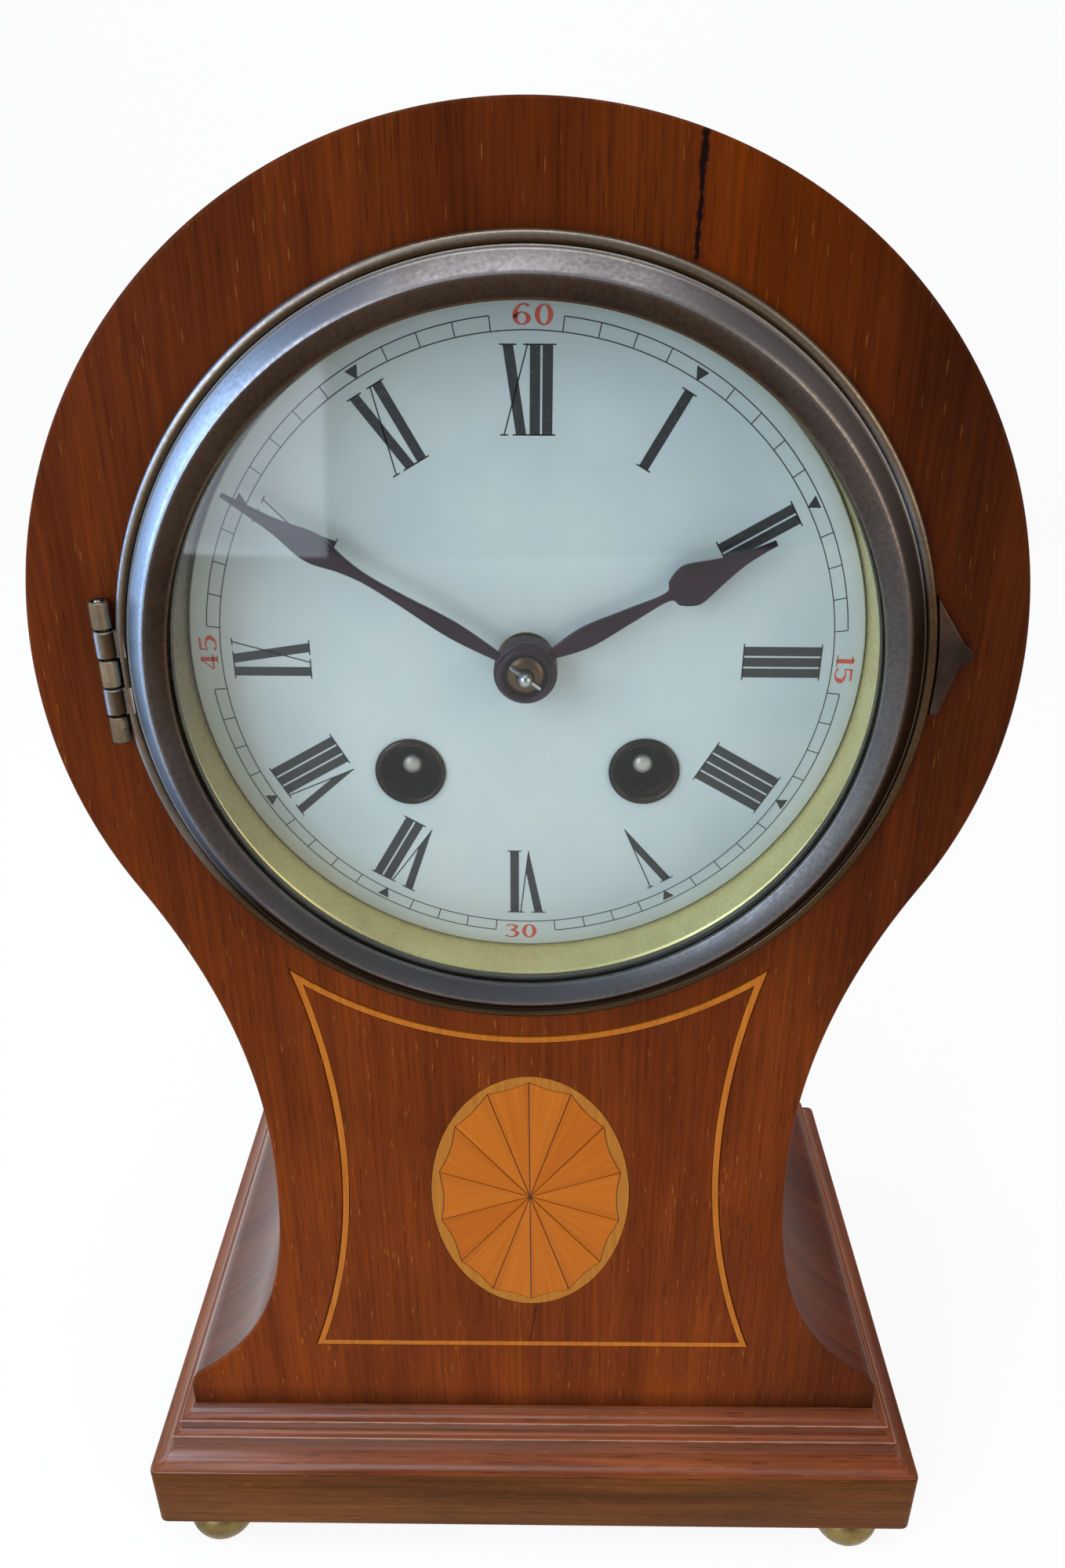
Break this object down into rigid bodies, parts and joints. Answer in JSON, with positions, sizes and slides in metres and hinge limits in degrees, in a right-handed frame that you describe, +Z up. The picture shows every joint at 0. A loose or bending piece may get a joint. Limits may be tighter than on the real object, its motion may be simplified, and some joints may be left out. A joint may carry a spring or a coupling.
{
  "type": "balloon mantel clock",
  "caption": "Balloon-shaped wooden mantel clock with an inlaid waist, hinged glazed bezel, enamel dial, hands, spring-driven striking movement and pendulum.",
  "frame": {"origin": "on the floor under the middle of the clock's base", "axes": "+Z up, the dial faces -Y, +X to the right as seen from the front"},
  "size_m": [0.1564, 0.114, 0.2637],
  "materials": {
    "mahogany": "French-polished veneer",
    "back_wood": "plain stained board",
    "boxwood": "polished inlay",
    "foot_brass": "tarnished",
    "bezel_brass": "tarnished, polished by hand",
    "case_brass": "lightly tarnished",
    "dial_brass": "brushed, spotted",
    "movement_brass": "brushed",
    "pendulum_brass": "polished",
    "bell_metal": "cast and turned",
    "enamel": "vitreous enamel",
    "glass": "clear, domed",
    "grommet_steel": "dark polish",
    "steel": "fine ground",
    "blued_steel": "blued, aged"
  },
  "bodies": {
    "case": {"front_panel": "mahogany", "case_body": "mahogany", "base_moulding": "mahogany", "plinth": "mahogany", "back_board": "back_wood", "string_inlay": "boxwood", "patera_border": "boxwood", "patera_fan": "boxwood", "foot_front_left": "foot_brass", "foot_back_left": "foot_brass", "foot_front_right": "foot_brass", "foot_back_right": "foot_brass", "hinge_case_leaf": "case_brass", "hinge_pin": "steel", "dial_mount": "dial_brass", "dial": "enamel", "winding_grommet_left": "grommet_steel", "winding_grommet_right": "grommet_steel", "front_plate": "movement_brass", "back_plate": "movement_brass", "plate_pillar_1": "movement_brass", "plate_pillar_2": "movement_brass", "plate_pillar_3": "movement_brass", "plate_pillar_4": "movement_brass", "case_strap_left": "movement_brass", "case_strap_right": "movement_brass", "back_cock": "movement_brass", "bell": "bell_metal", "bell_stand": "movement_brass", "back_ring": "case_brass"},
    "bezel_door": {"bezel_ring": "bezel_brass", "glass": "glass", "glass_retainer": "case_brass", "lift_tab": "bezel_brass"},
    "rear_door": {"back_door": "case_brass"},
    "minute_work": {"minute_hand": "blued_steel", "cannon_pinion": "steel"},
    "minute_wheel_turn": {"minute_wheel": "movement_brass"},
    "hour_work": {"hour_hand": "blued_steel", "hour_wheel": "movement_brass"},
    "third": {"third_wheel": "movement_brass"},
    "centre": {"centre_wheel": "movement_brass", "hand_collet": "case_brass", "hand_taper_pin": "steel"},
    "intermediate": {"intermediate_wheel": "movement_brass"},
    "going_drum": {"going_barrel": "movement_brass"},
    "escape": {"escape_wheel": "movement_brass"},
    "pin_wheel": {"strike_pin_wheel": "movement_brass"},
    "second": {"strike_second_wheel": "movement_brass"},
    "strike_drum": {"strike_barrel": "movement_brass"},
    "fly": {"strike_fly": "movement_brass"},
    "pendulum": {"suspension_spring": "steel", "pendulum_rod": "pendulum_brass", "pendulum_bob": "pendulum_brass"},
    "pallets": {"pallets_and_crutch": "steel"},
    "going_winder": {"going_winding_arbor": "steel"},
    "strike_winder": {"strike_winding_arbor": "steel"},
    "going_pawl": {"going_click": "steel"},
    "strike_pawl": {"strike_click": "steel"},
    "hammer": {"strike_hammer": "steel"}
  },
  "joints": [
    {"name": "bezel_swing", "type": "hinge", "parent": "case", "child": "bezel_door", "pos_m": [-0.0592, -0.04995, 0.1938], "axis": [0, 0, -1], "range_deg": [0, 105]},
    {"name": "back_door_swing", "type": "hinge", "parent": "case", "child": "rear_door", "pos_m": [0.0514, 0.05035, 0.1917], "axis": [0, 0, -1], "range_deg": [0, 110]},
    {"name": "minute_turn", "type": "hinge", "parent": "case", "child": "minute_work", "pos_m": [0, 0, 0.1917], "axis": [0, 1, 0], "continuous": true},
    {"name": "minute_wheel_spin", "type": "hinge", "parent": "case", "child": "minute_wheel_turn", "pos_m": [0, 0, 0.2037], "axis": [0, 1, 0], "continuous": true},
    {"name": "hour_turn", "type": "hinge", "parent": "case", "child": "hour_work", "pos_m": [0, 0, 0.1917], "axis": [0, 1, 0], "continuous": true},
    {"name": "third_spin", "type": "hinge", "parent": "case", "child": "third", "pos_m": [-0.00502, 0, 0.20247], "axis": [0, 1, 0], "continuous": true},
    {"name": "centre_spin", "type": "hinge", "parent": "case", "child": "centre", "pos_m": [0, 0, 0.1917], "axis": [0, 1, 0], "continuous": true},
    {"name": "intermediate_spin", "type": "hinge", "parent": "case", "child": "intermediate", "pos_m": [0.01609, 0, 0.19138], "axis": [0, 1, 0], "continuous": true},
    {"name": "going_drum_spin", "type": "hinge", "parent": "case", "child": "going_drum", "pos_m": [0.0184, 0, 0.1734], "axis": [0, 1, 0], "continuous": true},
    {"name": "escape_spin", "type": "hinge", "parent": "case", "child": "escape", "pos_m": [0, 0, 0.21213], "axis": [0, 1, 0], "continuous": true},
    {"name": "pin_wheel_spin", "type": "hinge", "parent": "case", "child": "pin_wheel", "pos_m": [-0.01835, 0, 0.2042], "axis": [0, 1, 0], "continuous": true},
    {"name": "second_spin", "type": "hinge", "parent": "case", "child": "second", "pos_m": [-0.01609, 0, 0.19138], "axis": [0, 1, 0], "continuous": true},
    {"name": "strike_drum_spin", "type": "hinge", "parent": "case", "child": "strike_drum", "pos_m": [-0.0184, 0, 0.1734], "axis": [0, 1, 0], "continuous": true},
    {"name": "fly_spin", "type": "hinge", "parent": "case", "child": "fly", "pos_m": [-0.01332, 0, 0.21195], "axis": [0, 1, 0], "continuous": true},
    {"name": "pendulum_swing", "type": "hinge", "parent": "case", "child": "pendulum", "pos_m": [0, 0.01175, 0.22343], "axis": [0, 1, 0], "range_deg": [-3.5, 3.5]},
    {"name": "pallet_rock", "type": "hinge", "parent": "case", "child": "pallets", "pos_m": [0, 0.01175, 0.22343], "axis": [0, 1, 0], "range_deg": [-3.5, 3.5]},
    {"name": "going_winding", "type": "hinge", "parent": "case", "child": "going_winder", "pos_m": [0.0184, 0, 0.1734], "axis": [0, 1, 0], "range_deg": [0, 1620]},
    {"name": "strike_winding", "type": "hinge", "parent": "case", "child": "strike_winder", "pos_m": [-0.0184, 0, 0.1734], "axis": [0, 1, 0], "range_deg": [0, 1620]},
    {"name": "going_click_lift", "type": "hinge", "parent": "case", "child": "going_pawl", "pos_m": [0.0274, 0, 0.1674], "axis": [0, 1, 0], "range_deg": [0, 8]},
    {"name": "strike_click_lift", "type": "hinge", "parent": "case", "child": "strike_pawl", "pos_m": [-0.0274, 0, 0.1674], "axis": [0, -1, 0], "range_deg": [0, 8]},
    {"name": "hammer_lift", "type": "hinge", "parent": "case", "child": "hammer", "pos_m": [-0.036, 0, 0.1797], "axis": [0, -1, 0], "range_deg": [0, 12]}
  ],
  "couplings": [
    {"joint": "minute_wheel_spin", "follows": "minute_turn", "ratio": -0.33333},
    {"joint": "hour_turn", "follows": "minute_turn", "ratio": 0.083333},
    {"joint": "centre_spin", "follows": "third_spin", "ratio": -0.1},
    {"joint": "intermediate_spin", "follows": "third_spin", "ratio": 0.016667},
    {"joint": "going_drum_spin", "follows": "third_spin", "ratio": -0.0027778},
    {"joint": "escape_spin", "follows": "third_spin", "ratio": -10},
    {"joint": "second_spin", "follows": "pin_wheel_spin", "ratio": -0.2},
    {"joint": "strike_drum_spin", "follows": "pin_wheel_spin", "ratio": 0.033333},
    {"joint": "fly_spin", "follows": "pin_wheel_spin", "ratio": -6},
    {"joint": "pallet_rock", "follows": "pendulum_swing", "ratio": 1}
  ]
}
